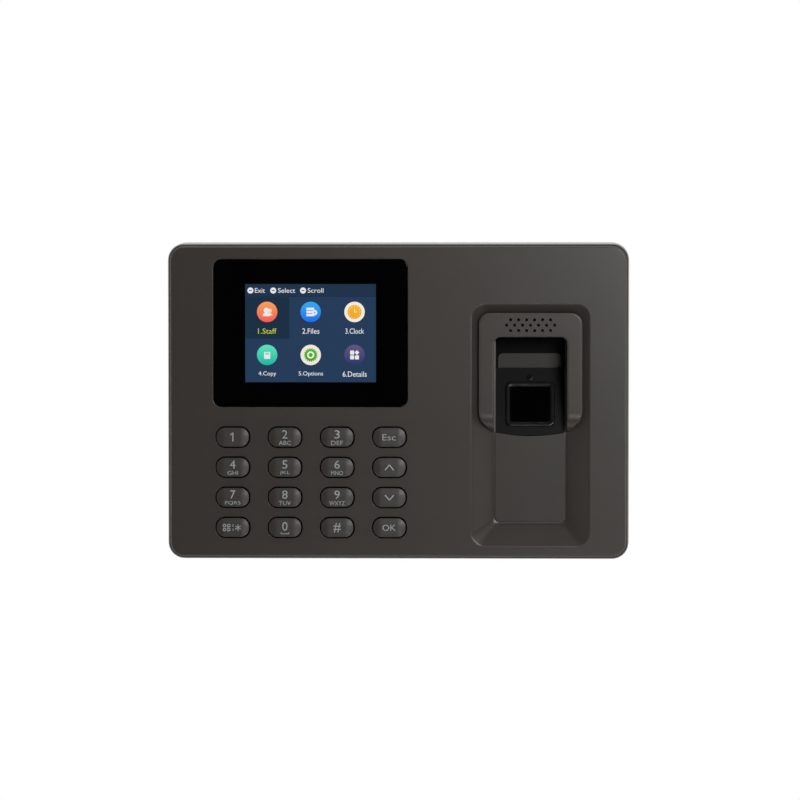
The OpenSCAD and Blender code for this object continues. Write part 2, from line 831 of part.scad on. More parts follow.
// Ribbon from the sensor board over to the main board.
module sensor_cable() {
    low = sensor_pcb_z + pcb_t + 3;
    high = main_top_z + 6;
    color("#8e9196") translate([0, 12.3, 0]) rotate([90, 0, 0]) linear_extrude(3.6) polygon([
        [60, low], [60, low + 0.6], [36.3, low + 0.6], [26.3, high + 0.6], [16.5, high + 0.6],
        [16.5, high], [26, high], [36, low]
    ]);
}

module speaker_frame() {
    color("#3a3a3d") translate([fp_x, 0, 0]) difference() {
        union() {
            translate([0, speaker_y, 0]) slab(26, 12, 2.5, speaker_z, speaker_z + 4.4);
            translate([0, 34.4, 0]) slab(38, 5, 2.4, speaker_z, speaker_z + 1.9);
        }
        translate([0, speaker_y, 0]) slab(23.4, 9.4, 2, speaker_z + 2.4, speaker_z + 5);
        for (x = [-16.4, 16.4]) rod([x, 34.4], 2.3, speaker_z - 1, speaker_z + 3);
    }
}

module speaker_cone() {
    color("#1b1b1c") translate([fp_x, speaker_y, 0]) {
        slab(23.2, 9.2, 1.9, speaker_z + 3.4, speaker_z + 3.7);
        slab(12, 5, 2.4, speaker_z + 2.4, speaker_z + 3.4);
    }
}

module speaker_mesh() {
    color("#121213") translate([fp_x, 28.3, 0]) {
        slab(25, 4.4, 0.6, hood_z - skin - 0.25, hood_z - skin);
    }
}

module speaker_screws() {
    color("#b9bcc1") for (p = speaker_posts) screw(p, 2, 4, 1.3, speaker_z, speaker_z + 5.5);
}

module cover_screws() {
    color("#9a9da2") for (p = cover_posts) screw(p, 2.2, 4.8, 1.8, 9, parting_z + 9);
}

// Pressed steel plate with four upright hooks and a locking tab.
module wall_bracket() {
    color("#a8abad") difference() {
        union() {
            translate([0, (plate_top + plate_bottom) / 2, 0]) {
                slab(plate_w, plate_top - plate_bottom, 3, 0, plate_t);
            }
            for (p = hook_places) {
                block([p[0], p[1] - 0.6], tab_w, 1.2, plate_t - thin, 7.2);
                block([p[0], p[1] + 1.3], tab_w, 2.6, 6, 7.2);
            }
            block([0, plate_bottom + 0.6], 14, 1.2, plate_t - thin, 8);
        }
        for (x = [-1, 1], y = [-1, 1]) {
            rod([x * wall_pitch_x / 2, y * wall_pitch_y / 2], wall_hole_d, -1, 3);
        }
        slab(24, 24, 4, -1, 3);
        for (p = hook_places) block([p[0], p[1] + 2.8], tab_w, 5.2, -1, plate_t + 1);
        translate([0, -48, lock_z]) rotate([90, 0, 0]) cylinder(d = 2.54, h = 12);
    }
}

module security_screw() {
    color("#b9bcc1") translate([0, -58, lock_z]) rotate([-90, 0, 0]) difference() {
        union() {
            cylinder(d = 2.5, h = 6.5);
            translate([0, 0, -1.2]) cylinder(d = 5.6, h = 1.2);
        }
        translate([0, 0, -1.3]) cylinder(d = 2.4, h = 1, $fn = 6);
    }
}

stand() front_cover();
stand() rear_cover();
stand() display_window();
stand() window_tape();
stand() lcd_panel();
stand() lcd_frame();
stand() lcd_foam();
stand() lcd_flex();
stand() front_board();
stand() front_board_parts();
stand() keypad_membrane();
stand() key_1();
stand() key_2();
stand() key_3();
stand() key_esc();
stand() key_4();
stand() key_5();
stand() key_6();
stand() key_up();
stand() key_7();
stand() key_8();
stand() key_9();
stand() key_down();
stand() key_menu();
stand() key_0();
stand() key_hash();
stand() key_ok();
stand() main_board();
stand() main_board_chips();
stand() main_board_parts();
stand() board_header();
stand() wire_connectors();
stand() usb_socket();
stand() usb_tongue();
stand() power_jack();
stand() battery_holder();
stand() clock_battery();
stand() reset_switch();
stand() reset_plunger();
stand() board_screws();
stand() front_board_screws();
stand() sensor_holder();
stand() sensor_led();
stand() sensor_prism();
stand() sensor_housing();
stand() sensor_screws();
stand() sensor_lens();
stand() camera_board();
stand() light_board();
stand() sensor_board();
stand() sensor_cable();
stand() speaker_frame();
stand() speaker_cone();
stand() speaker_mesh();
stand() speaker_screws();
stand() cover_screws();
stand() wall_bracket();
stand() security_screw();
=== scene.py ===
import math
import bmesh
import bpy
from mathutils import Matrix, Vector
from mathutils.geometry import delaunay_2d_cdt


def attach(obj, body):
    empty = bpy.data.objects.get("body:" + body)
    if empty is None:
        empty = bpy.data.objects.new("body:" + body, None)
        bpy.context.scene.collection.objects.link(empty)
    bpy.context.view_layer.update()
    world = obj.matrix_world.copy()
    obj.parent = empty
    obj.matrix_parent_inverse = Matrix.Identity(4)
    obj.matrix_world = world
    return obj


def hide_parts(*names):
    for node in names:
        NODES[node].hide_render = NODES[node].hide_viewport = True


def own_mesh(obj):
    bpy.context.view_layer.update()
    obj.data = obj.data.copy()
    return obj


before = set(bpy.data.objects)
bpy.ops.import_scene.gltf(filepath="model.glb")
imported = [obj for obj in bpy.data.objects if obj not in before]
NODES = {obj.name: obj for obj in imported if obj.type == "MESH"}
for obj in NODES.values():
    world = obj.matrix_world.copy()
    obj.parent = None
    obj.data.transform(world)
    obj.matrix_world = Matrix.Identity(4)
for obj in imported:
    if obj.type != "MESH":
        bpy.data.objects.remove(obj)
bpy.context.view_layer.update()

# Sizes in millimetres, as in the CAD. x runs right, y up the wall, h out from the wall.
FACE_W, FACE_H, FACE_R, FACE, PARTING = 170.0, 115.6, 5.2, 32.0, 14.0
LCD_X, LCD_Y, ACTIVE_W, ACTIVE_H = -32.6, 25.5, 48.96, 36.72
LENS_W, LENS_H, LENS_R, LENS_TOP, LENS_LOW = 72.4, 55.0, 3.1, 31.9, 30.4
PITCH_X, PITCH_Y, PAD_Y = 19.5, 11.25, -30.2
KEY_W, KEY_H, KEY_R, KEY_GAP = 12.3, 7.3, 3.3, 0.32
FP_X, RECESS_W, RECESS_H, RECESS_Y, SLOPE_W = 49.4, 43.8, 90.0, -8.8, 8.2
FLOOR, RAMP, HOOD, HOOD_W, HOOD_TOP = 27.0, 27.5, 33.0, 38.5, 33.0
MOUTH_W, MOUTH_TOP, MOUTH_R, WELL = 27.2, 24.0, 2.5, 17.0
BEND_Y, BEND_DROP, BEND_RUN, SMILE = -3.5, 6.4, 8.0, 1.6
FOOT_Y, FOOT_R, FOOT_TURN, FOOT_RUN = -4.0, 6.0, 46.0, 4.4
# Rounding of the face's outer edge, of the openings in it and of the hood.
EDGE, RIM, SOFT = 0.7, 0.22, 0.6


def point(x, y, h):
    return Vector((x, -h, y)) / 1000.0


# ---------------------------------------------------------------- outlines

def arc(cx, cy, r, start, end, steps):
    turns = [math.radians(start + (end - start) * i / steps) for i in range(steps + 1)]
    return [(cx + r * math.cos(a), cy + r * math.sin(a)) for a in turns]


def rounded(w, h, r, cx=0.0, cy=0.0, steps=10):
    x, y = w / 2 - r, h / 2 - r
    return (arc(cx + x, cy - y, r, -90, 0, steps) + arc(cx + x, cy + y, r, 0, 90, steps)
            + arc(cx - x, cy + y, r, 90, 180, steps) + arc(cx - x, cy - y, r, 180, 270, steps))


def circle(cx, cy, r, steps=20):
    return arc(cx, cy, r, 0, 360 * (steps - 1) / steps, steps - 1)


def mirror(points):
    return [(-x, y) for x, y in reversed(points)]


def shifted(points, dx, dy=0.0):
    return [(x + dx, y + dy) for x, y in points]


def inset(points, amount):
    """A closed counter-clockwise outline moved inwards, by a number or a function of (x, y)."""
    out = []
    n = len(points)
    for i, (x, y) in enumerate(points):
        ax, ay = points[i - 1]
        bx, by = points[(i + 1) % n]
        ux, uy = x - ax, y - ay
        vx, vy = bx - x, by - y
        lu, lv = math.hypot(ux, uy) or 1, math.hypot(vx, vy) or 1
        nx, ny = -(uy / lu + vy / lv), ux / lu + vx / lv
        ln = math.hypot(nx, ny) or 1
        turn = max(0.5, ln / 2)
        d = amount(x, y) if callable(amount) else amount
        out.append((x + nx / ln * d / turn, y + ny / ln * d / turn))
    return out


def inside(p, loop):
    hit = False
    x, y = p
    for i in range(len(loop)):
        (ax, ay), (bx, by) = loop[i - 1], loop[i]
        if (ay > y) != (by > y) and x < (bx - ax) * (y - ay) / (by - ay) + ax:
            hit = not hit
    return hit


def triangulate(loops, extra):
    """Points and triangles of the region that lies inside an odd number of the loops."""
    points, edges = [], []
    for loop in loops:
        start = len(points)
        points += [Vector(p) for p in loop]
        edges += [(start + i, start + (i + 1) % len(loop)) for i in range(len(loop))]
    points += [Vector(p) for p in extra]
    out, _, faces, _, _, _ = delaunay_2d_cdt(points, edges, [], 0, 1e-5)
    kept = []
    for f in faces:
        centre = (sum(out[i].x for i in f) / 3, sum(out[i].y for i in f) / 3)
        if sum(inside(centre, loop) for loop in loops) % 2:
            kept.append(f)
    return out, kept


# ---------------------------------------------------------------- mesh building

WELD, SHARP = 2e-6, math.radians(32.0)


class Shell:
    """A mesh under construction; every face carries a material index."""

    def __init__(self):
        self.bm = bmesh.new()

    def strips(self, rings, mat=0, flip=False):
        """Bands of faces between closed rings that have the same number of points."""
        made = [[self.bm.verts.new(p) for p in ring] for ring in rings]
        for a, b in zip(made, made[1:]):
            n = len(a)
            for i in range(n):
                j = (i + 1) % n
                quad = [a[i], a[j], b[j], b[i]]
                face = self.bm.faces.new(quad[::-1] if flip else quad)
                face.material_index = mat

    def patch(self, loops, place, mat=0, extra=(), flip=False):
        """The region inside an odd number of the loops, with each point put where place says."""
        out, faces = triangulate(loops, extra)
        made = {}
        for f in faces:
            for i in f:
                if i not in made:
                    made[i] = self.bm.verts.new(place(out[i].x, out[i].y))
            face = self.bm.faces.new([made[i] for i in (f[::-1] if flip else f)])
            face.material_index = mat

    def fill(self, loops, height, mat=0, extra=(), flip=False):
        """A patch at a height from the wall, which is a number or a function of (x, y)."""
        up = height if callable(height) else lambda x, y: height
        self.patch(loops, lambda x, y: point(x, y, up(x, y)), mat, extra, flip)

    def drape(self, triangle, up, mat, limit):
        """A flat triangle laid on a curved surface, halved until no side is over the limit."""
        sides = [math.dist(triangle[i], triangle[(i + 1) % 3]) for i in range(3)]
        longest = sides.index(max(sides))
        if sides[longest] > limit:
            a, b, c = (triangle[(longest + k) % 3] for k in range(3))
            middle = ((a[0] + b[0]) / 2, (a[1] + b[1]) / 2)
            self.drape((a, middle, c), up, mat, limit)
            self.drape((middle, b, c), up, mat, limit)
            return
        verts = [self.bm.verts.new(point(x, y, up(x, y))) for x, y in triangle]
        self.bm.faces.new(verts).material_index = mat

    def finish(self, name, mats, weighted=True):
        """The mesh as an object, smooth except at its sharp edges."""
        bm = self.bm
        bmesh.ops.remove_doubles(bm, verts=bm.verts, dist=WELD)
        bmesh.ops.dissolve_degenerate(bm, edges=bm.edges, dist=1e-7)
        for f in bm.faces:
            f.smooth = True
        for e in bm.edges:
            if len(e.link_faces) != 2 or e.calc_face_angle(0.0) > SHARP:
                e.smooth = False
        mesh = bpy.data.meshes.new(name)
        bm.to_mesh(mesh)
        bm.free()
        for m in mats:
            mesh.materials.append(m)
        obj = bpy.data.objects.new(name, mesh)
        bpy.context.collection.objects.link(obj)
        if weighted:
            mod = obj.modifiers.new("normals", "WEIGHTED_NORMAL")
            mod.keep_sharp = True
        return obj


def lift(points, h):
    return [point(x, y, h(x, y) if callable(h) else h) for x, y in points]


def fillet(loop, h, r, steps):
    """Rings that round an edge over, from the flat top at h to the outline's wall."""
    rings = []
    for i in range(steps + 1):
        a = math.pi / 2 * i / steps
        rings.append(lift(inset(loop, r * (1 - math.sin(a))), h - r * (1 - math.cos(a))))
    return rings


# ---------------------------------------------------------------- materials

def linear(code):
    """A hexadecimal sRGB colour as linear red, green and blue."""
    values = [int(code[i:i + 2], 16) / 255 for i in (1, 3, 5)]
    return [v / 12.92 if v <= 0.04045 else ((v + 0.055) / 1.055) ** 2.4 for v in values]


def finish(name, code, rough, metallic=0.0, spec=0.5, vary=0.08, spread=40.0, grain=6000.0,
           bump=0.05, depth=0.00003, rough_vary=0.06):
    """A surface with fine grain, slow colour variation and uneven gloss."""
    mat = bpy.data.materials.new(name)
    mat.use_nodes = True
    tree = mat.node_tree
    bsdf = tree.nodes["Principled BSDF"]
    bsdf.inputs["Metallic"].default_value = metallic
    bsdf.inputs["Specular IOR Level"].default_value = spec

    def add(kind, **values):
        made = tree.nodes.new(kind)
        for key, value in values.items():
            setattr(made, key, value)
        return made

    coords = add("ShaderNodeTexCoord")
    fine = add("ShaderNodeTexNoise")
    fine.inputs["Scale"].default_value = grain
    fine.inputs["Detail"].default_value = 2.0
    slow = add("ShaderNodeTexNoise")
    slow.inputs["Scale"].default_value = spread
    slow.inputs["Detail"].default_value = 3.0
    for noise in (fine, slow):
        tree.links.new(coords.outputs["Object"], noise.inputs["Vector"])

    ramps = []
    for noise, amount in ((fine, vary), (slow, vary * 0.5)):
        ramp = add("ShaderNodeMapRange")
        ramp.inputs["From Min"].default_value = 0.3
        ramp.inputs["From Max"].default_value = 0.7
        ramp.inputs["To Min"].default_value = 1 - amount
        ramp.inputs["To Max"].default_value = 1 + amount
        tree.links.new(noise.outputs["Fac"], ramp.inputs["Value"])
        ramps.append(ramp)
    both = add("ShaderNodeMath", operation="MULTIPLY")
    tree.links.new(ramps[0].outputs[0], both.inputs[0])
    tree.links.new(ramps[1].outputs[0], both.inputs[1])
    tint = add("ShaderNodeVectorMath", operation="SCALE")
    tint.inputs[0].default_value = linear(code)
    tree.links.new(both.outputs[0], tint.inputs["Scale"])
    tree.links.new(tint.outputs[0], bsdf.inputs["Base Color"])

    gloss = add("ShaderNodeMapRange")
    gloss.inputs["To Min"].default_value = max(0.02, rough - rough_vary)
    gloss.inputs["To Max"].default_value = min(1.0, rough + rough_vary)
    tree.links.new(fine.outputs["Fac"], gloss.inputs["Value"])
    tree.links.new(gloss.outputs[0], bsdf.inputs["Roughness"])

    relief = add("ShaderNodeBump")
    relief.inputs["Strength"].default_value = bump
    relief.inputs["Distance"].default_value = depth
    tree.links.new(fine.outputs["Fac"], relief.inputs["Height"])
    tree.links.new(relief.outputs[0], bsdf.inputs["Normal"])
    return mat


def glow(name, code, to=None, low=0.0, high=0.001):
    """A lit picture element; with a second colour it blends between two heights."""
    mat = bpy.data.materials.new(name)
    mat.use_nodes = True
    tree = mat.node_tree
    bsdf = tree.nodes["Principled BSDF"]
    bsdf.inputs["Base Color"].default_value = [0.1 * v for v in linear(code)] + [1.0]
    bsdf.inputs["Specular IOR Level"].default_value = 0.0
    bsdf.inputs["Roughness"].default_value = 0.6
    bsdf.inputs["Emission Color"].default_value = linear(code) + [1.0]
    bsdf.inputs["Emission Strength"].default_value = 1.0
    if to:
        coords = tree.nodes.new("ShaderNodeTexCoord")
        axes = tree.nodes.new("ShaderNodeSeparateXYZ")
        ramp = tree.nodes.new("ShaderNodeMapRange")
        ramp.inputs["From Min"].default_value = low
        ramp.inputs["From Max"].default_value = high
        mix = tree.nodes.new("ShaderNodeMix")
        mix.data_type = "RGBA"
        mix.inputs["A"].default_value = linear(code) + [1.0]
        mix.inputs["B"].default_value = linear(to) + [1.0]
        tree.links.new(coords.outputs["Object"], axes.inputs[0])
        tree.links.new(axes.outputs["Z"], ramp.inputs["Value"])
        tree.links.new(ramp.outputs[0], mix.inputs["Factor"])
        tree.links.new(mix.outputs["Result"], bsdf.inputs["Emission Color"])
    return mat


PAINT = finish("satin_paint", "#443f3a", 0.34, vary=0.08, grain=5200, bump=0.12, spec=0.62)
# The cover's paint darkened as painted shade, for the well's back wall deep behind the hood.
SHADED_PAINT = finish("paint_darkened_as_shade", "#2c2925", 0.45, vary=0.08, grain=5200, bump=0.12, spec=0.5)
REAR = finish("rear_plastic", "#3d3935", 0.52, vary=0.05, grain=3500, bump=0.22)
CAPS = finish("key_paint", "#403b37", 0.42, vary=0.08, grain=5200, bump=0.12, spec=0.7)
LEGEND = finish("legend_ink", "#b9bfbe", 0.55, vary=0.04, grain=5200, bump=0.05)
BLACK_GLASS = finish("black_glass", "#020203", 0.06, vary=0.3, grain=60, bump=0.0, rough_vary=0.01)
SATIN_BLACK = finish("holder_black", "#080808", 0.36, vary=0.12, grain=5000, bump=0.12, spec=0.44)
RING_BLACK = finish("ring_black", "#0b0b0b", 0.27, vary=0.12, grain=5000, bump=0.10, spec=0.8)
FRAME_BLACK = finish("frame_black", "#050505", 0.5, vary=0.12, grain=5000, bump=0.12, spec=0.08)
GLASS_BLACK = finish("finger_glass", "#020203", 0.05, vary=0.2, grain=90, bump=0.0, rough_vary=0.01)
STEEL = finish("zinc_steel", "#a9acb0", 0.34, metallic=1.0, vary=0.08, grain=1400, bump=0.06, spread=90)
GALVANISED = finish("galvanised", "#9da1a4", 0.42, metallic=1.0, vary=0.12, grain=260, bump=0.05,
                    depth=0.0001, spread=120, rough_vary=0.12)
PLATED = finish("plated_shell", "#c2c5ca", 0.22, metallic=1.0, vary=0.05, grain=1200, bump=0.04)
NYLON = finish("white_nylon", "#ddd9cc", 0.5, vary=0.05, grain=2500, bump=0.1)
RUBBER = finish("silicone", "#c4c1b7", 0.62, vary=0.05, grain=3000, bump=0.1)
# Near-black painted shade: hole walls, the face's groove and the key skirts get it, where shade falls in
# the gaps.
SHADE = finish("gap_painted_shade", "#040404", 0.8, vary=0.12, grain=3000, bump=0.1, spec=0.1)
DARK = finish("black_moulding", "#141414", 0.5, vary=0.12, grain=3000, bump=0.15)
GAUZE = finish("gauze", "#0b0b0b", 0.9, vary=0.5, grain=2600, bump=0.8, depth=0.0001)
COPPER = finish("amber_film", "#8a4f18", 0.3, vary=0.15, grain=700, bump=0.05)
BOARD = finish("solder_mask", "#123c22", 0.32, vary=0.25, grain=420, bump=0.2, spread=260)
RED = finish("red_plastic", "#9c2a22", 0.4, vary=0.06, grain=3000, bump=0.1)
SMOKE = finish("indicator", "#191212", 0.2, vary=0.1, grain=900, bump=0.0)
PAPER = finish("cone_paper", "#1b1b1c", 0.85, vary=0.3, grain=2200, bump=0.4)


# ---------------------------------------------------------------- front cover

def key_at(i):
    return (LCD_X + 0.2 + (i % 4 - 1.5) * PITCH_X, PAD_Y + (1.5 - i // 4) * PITCH_Y)


def speaker_holes():
    """Centres of the nineteen holes: rows of six, seven and six."""
    across, down, middle = 2.97, 2.02, 28.47
    spots = []
    for row in (-1, 0, 1):
        for i in range(7 if row == 0 else 6):
            shift = 0 if row == 0 else across / 2
            spots.append((FP_X + (i - 3) * across + shift, middle + row * down))
    return spots


def hood_half():
    """Right half of the hood's outline, from its foot to the middle of its top."""
    turn = math.radians(FOOT_TURN)
    curve = arc(HOOD_W / 2 - FOOT_R, FOOT_Y, FOOT_R, -FOOT_TURN, 0, 16)
    foot = (curve[0][0] - FOOT_RUN * math.sin(turn), curve[0][1] - FOOT_RUN * math.cos(turn))
    return [foot] + curve + arc(HOOD_W / 2 - 4, HOOD_TOP - 4, 4, 0, 90, 12)


def smile_y(x):
    """The ramp's curved upper edge, x from the recess's middle."""
    foot = hood_half()[0]
    r = (foot[0] ** 2 + SMILE ** 2) / (2 * SMILE)
    return foot[1] - SMILE + r - math.sqrt(max(0.0, r * r - x * x))


def hood_height(x, y):
    """Height of the hood's face: flat, then a rounded fall to the ramp."""
    if y >= BEND_Y:
        return HOOD
    s = min(1.0, (BEND_Y - y) / BEND_RUN)
    return HOOD - BEND_DROP + BEND_DROP * math.sqrt(1 - s * s)


def mouth_half():
    """Right half of the mouth, from its foot on the ramp's curved edge up to the middle."""
    half = MOUTH_W / 2
    foot = smile_y(half)
    side = [(half, foot + (MOUTH_TOP - MOUTH_R - foot) * i / 26) for i in range(26)]
    return side + arc(half - MOUTH_R, MOUTH_TOP - MOUTH_R, MOUTH_R, 0, 90, 8)


def hood_loop():
    """The inverted U of the hood's face, counter-clockwise, with no long step in it."""
    outer = hood_half()
    right = []
    for a, b in zip(outer, outer[1:]):
        steps = max(1, int(math.hypot(b[0] - a[0], b[1] - a[1]) / 1.5))
        right += [(a[0] + (b[0] - a[0]) * k / steps, a[1] + (b[1] - a[1]) * k / steps)
                  for k in range(steps)]
    right.append(outer[-1])
    mouth = mouth_half()
    return shifted(right + mirror(right) + [(-x, y) for x, y in mouth] + mouth[::-1], FP_X)


def flank(h):
    """The cover's outline at a height: it curves out first, then widens evenly."""
    t = (FACE - h) / (FACE - PARTING)
    grow = 1.9 * (0.5 * (1 - (1 - min(1.0, t / 0.25)) ** 2) + 0.5 * t)
    return rounded(FACE_W + 2 * grow, FACE_H + 2 * grow, FACE_R + grow * 0.84, steps=12)


def add_sides(shell, face):
    """The rounded edge, the groove behind it painted near-black as shade, the flank and the parting
    edge.
    """
    edge = fillet(face, FACE, EDGE, steps=6)
    groove = [(31.05, 0.0), (30.95, 0.25), (30.55, 0.25), (30.45, 0.0)]
    cut = [lift(inset(flank(h), back), h) for h, back in groove]
    skirt = [lift(flank(h), h) for h in (30.3, 29.8, 29.2, 28.6, 28.0, 27.5, 26.5, 24.0, 20.0, 14.35)]
    last = flank(PARTING)
    skirt += [lift(inset(last, 0.12), 14.1), lift(inset(last, 0.35), PARTING),
              lift(inset(last, 2.4), PARTING), lift(inset(face, 2.4), 29.6)]
    shell.strips(edge + cut[:1], flip=True)
    # The groove's faces get the near-black painted shade.
    shell.strips(cut, mat=1, flip=True)
    shell.strips(cut[-1:] + skirt, flip=True)


def opening(w, h, r, cx, cy, steps):
    """The rings of an opening's rolled rim, and the outline that it leaves in the face."""
    rings = []
    for k in range(5):
        a = math.pi / 2 * k / 4
        o = RIM * (1 - math.sin(a))
        rings.append(lift(rounded(w + 2 * o, h + 2 * o, r + o, cx, cy, steps),
                          FACE - RIM * (1 - math.cos(a))))
    return rings, rounded(w + 2 * RIM, h + 2 * RIM, r + RIM, cx, cy, steps)


def add_openings(shell):
    """Sixteen key holes and the window's recess; returns their outlines in the face."""
    holes = []
    w, h, r = KEY_W + 2 * KEY_GAP, KEY_H + 2 * KEY_GAP, KEY_R + KEY_GAP
    for i in range(16):
        cx, cy = key_at(i)
        rings, outline = opening(w, h, r, cx, cy, 8)
        shell.strips(rings[:3])
        # Lower rim and wall of each key hole: unpainted black plastic, made near-black as painted shade
        # in the gap.
        shell.strips(rings[2:] + [lift(rounded(w, h, r, cx, cy, 8), 29.6)], mat=1)
        holes.append(outline)
    w, h, r = LENS_W + 0.3, LENS_H + 0.3, LENS_R + 0.15
    rings, outline = opening(w, h, r, LCD_X, LCD_Y, 10)
    shell.strips(rings + [lift(rounded(w, h, r, LCD_X, LCD_Y), 30.2)])
    return holes + [outline]


def add_recess(shell):
    """The sloping wall of the finger recess; returns its outlines in the face and on the floor."""
    slope = []
    for o, height in ((0.45, 32.0), (0.2, 31.97), (0.0, 31.9), (-0.25, 31.78), (-0.5, 31.65),
                      (-2.5, 30.47), (-5.0, 28.95), (-7.2, 27.61), (-7.7, 27.33), (-8.15, 27.13),
                      (-8.6, 27.02), (-9.0, FLOOR)):
        s = min(1.0, max(0.0, -o / SLOPE_W))
        r = 5 - 3 * s + max(0.0, o)
        slope.append((rounded(RECESS_W + 2 * o, RECESS_H + 2 * o, r, FP_X, RECESS_Y), height))
    shell.strips([lift(loop, height) for loop, height in slope])
    return slope[0][0], slope[-1][0]


def add_ramp(shell, foot):
    """The recess's floor and the raised panel that leads the finger up to the sensor."""
    low = RECESS_Y - RECESS_H / 2 + SLOPE_W + 0.45
    half = RECESS_W / 2 - SLOPE_W - 0.45
    gap = shifted([(-half, low + 1), (half, low + 1), (half, -10), (13.45, -10), (13.45, 24.6),
                   (-13.45, 24.6), (-13.45, -10), (-half, -10)], FP_X)
    shell.fill([foot, gap], FLOOR)
    r = 1.8
    side = arc(half - r, low + r, r, -90, 0, 8)
    side += [(half, low + r + (-10.5 - low - r) * k / 6) for k in range(1, 6)]
    across = [half - 2 * half * k / 24 for k in range(25)]
    top = [(x, smile_y(min(abs(x), 14.1))) for x in across]
    panel = shifted(side + top + mirror(side), FP_X)
    shell.strips(fillet(panel, RAMP, RIM, steps=4) + [lift(panel, 24.9)], flip=True)
    shell.fill([inset(panel, RIM)], RAMP)


def add_hood(shell):
    """The hood: its face with the speaker's holes, its rounded edge and its walls."""
    loop = hood_loop()
    foot_y = hood_half()[0][1]

    def soft(x, y):
        return SOFT * min(1.0, max(0.03, (y - foot_y) / 5.0))

    rings = []
    for k in range(8):
        a = math.pi / 2 * k / 7
        part = inset(loop, lambda x, y: soft(x, y) * (1 - math.sin(a)))
        drop = [soft(x, y) * (1 - math.cos(a)) for x, y in loop]
        rings.append([point(x, y, hood_height(x, y) - d) for (x, y), d in zip(part, drop)])
    shell.strips(rings + [lift(loop, 26.2), lift(loop, WELL)], flip=True)

    core = inset(loop, SOFT)
    grid = []
    for sign in (-1, 1):
        for i in range(6):
            for j in range(16):
                x, y = FP_X + sign * (13.9 + i * 0.9), foot_y + 0.25 + j * 0.5
                if inside((x, y), core):
                    grid.append((x, y))
    small = [circle(x, y, 0.56) for x, y in speaker_holes()]
    shell.fill([inset(loop, soft)] + small, hood_height, extra=grid)
    for hole in small:
        # Hole walls in near-black painted shade.
        shell.strips([lift(hole, HOOD), lift(hole, HOOD - 2.2)], mat=1)


def make_front():
    shell = Shell()
    face = rounded(FACE_W, FACE_H, FACE_R, steps=12)
    add_sides(shell, face)
    holes = add_openings(shell)
    rim, foot = add_recess(shell)
    shell.fill([inset(face, EDGE)] + holes + [rim], FACE)
    add_ramp(shell, foot)
    add_hood(shell)
    # The well's back wall, in the cover paint darkened as painted shade.
    back = [(FP_X - 13.4, 12.3), (FP_X + 13.4, 12.3), (FP_X + 13.4, 24.0), (FP_X - 13.4, 24.0)]
    shell.fill([back], WELL, mat=2)
    obj = shell.finish("front_cover_shell", [PAINT, SHADE, SHADED_PAINT])
    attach(obj, "terminal")
    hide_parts("front_cover")


# ---------------------------------------------------------------- lettering

def glyphs(text, height, width):
    """Triangles of a text in the built-in font, scaled to a cap height and centred on 0, 0."""
    curve = bpy.data.curves.new("letters", "FONT")
    curve.body = text
    curve.resolution_u = 3
    obj = bpy.data.objects.new("letters", curve)
    bpy.context.collection.objects.link(obj)
    bpy.context.view_layer.update()
    mesh = bpy.data.meshes.new_from_object(obj.evaluated_get(bpy.context.evaluated_depsgraph_get()))
    verts = [(v.co.x, v.co.y) for v in mesh.vertices]
    faces = [list(p.vertices) for p in mesh.polygons]
    bpy.data.objects.remove(obj)
    bpy.data.curves.remove(curve)
    bpy.data.meshes.remove(mesh)
    xs, ys = [v[0] for v in verts], [v[1] for v in verts]
    cx, cy = (min(xs) + max(xs)) / 2, (min(ys) + max(ys)) / 2
    scale = height / (max(ys) - min(ys))
    squeeze = scale if width is None else width / (max(xs) - min(xs))
    return [((x - cx) * squeeze, (y - cy) * scale) for x, y in verts], faces


def write(shell, text, x, y, height, up, mat, width=None, limit=0.45):
    """A text in flat letters, centred on x, y and laid on the surface that up gives."""
    verts, faces = glyphs(text, height, width)
    for f in faces:
        corners = [(x + verts[i][0], y + verts[i][1]) for i in f]
        for k in range(1, len(corners) - 1):
            shell.drape((corners[0], corners[k], corners[k + 1]), up, mat, limit)


def stroke(shell, points, width, up, mat):
    """A flat line of even width through the points."""
    for (ax, ay), (bx, by) in zip(points, points[1:]):
        length = math.hypot(bx - ax, by - ay)
        nx, ny = -(by - ay) / length * width / 2, (bx - ax) / length * width / 2
        quad = [(ax - nx, ay - ny), (bx - nx, by - ny), (bx + nx, by + ny), (ax + nx, ay + ny)]
        shell.drape(quad[:3], up, mat, 0.45)
        shell.drape([quad[0], quad[2], quad[3]], up, mat, 0.45)


# ---------------------------------------------------------------- keys

KEYS = [("key_1", "1", ""), ("key_2", "2", "ABC"), ("key_3", "3", "DEF"), ("key_esc", "Esc", None),
        ("key_4", "4", "GHI"), ("key_5", "5", "JKL"), ("key_6", "6", "MNO"), ("key_up", "up", None),
        ("key_7", "7", "PQRS"), ("key_8", "8", "TUV"), ("key_9", "9", "WXYZ"),
        ("key_down", "down", None), ("key_menu", "menu", "*"), ("key_0", "0", "space"),
        ("key_hash", "#", ""), ("key_ok", "OK", None)]
CAP_LOW, FLANGE_LOW, STEM_LOW, CAP_ROUND = 29.5, 28.7, 27.9, 0.34


def crown(x, y):
    """Height of a key cap over its centre plane, from the distance to the cap's edge."""
    qx, qy = abs(x) - (KEY_W / 2 - KEY_R), abs(y) - (KEY_H / 2 - KEY_R)
    deep = KEY_R - (math.hypot(max(qx, 0), max(qy, 0)) + min(max(qx, qy), 0))
    s = max(0.0, min(1.0, deep / 3.6))
    return 32.6 + 0.58 * (1 - (1 - s) ** 2)


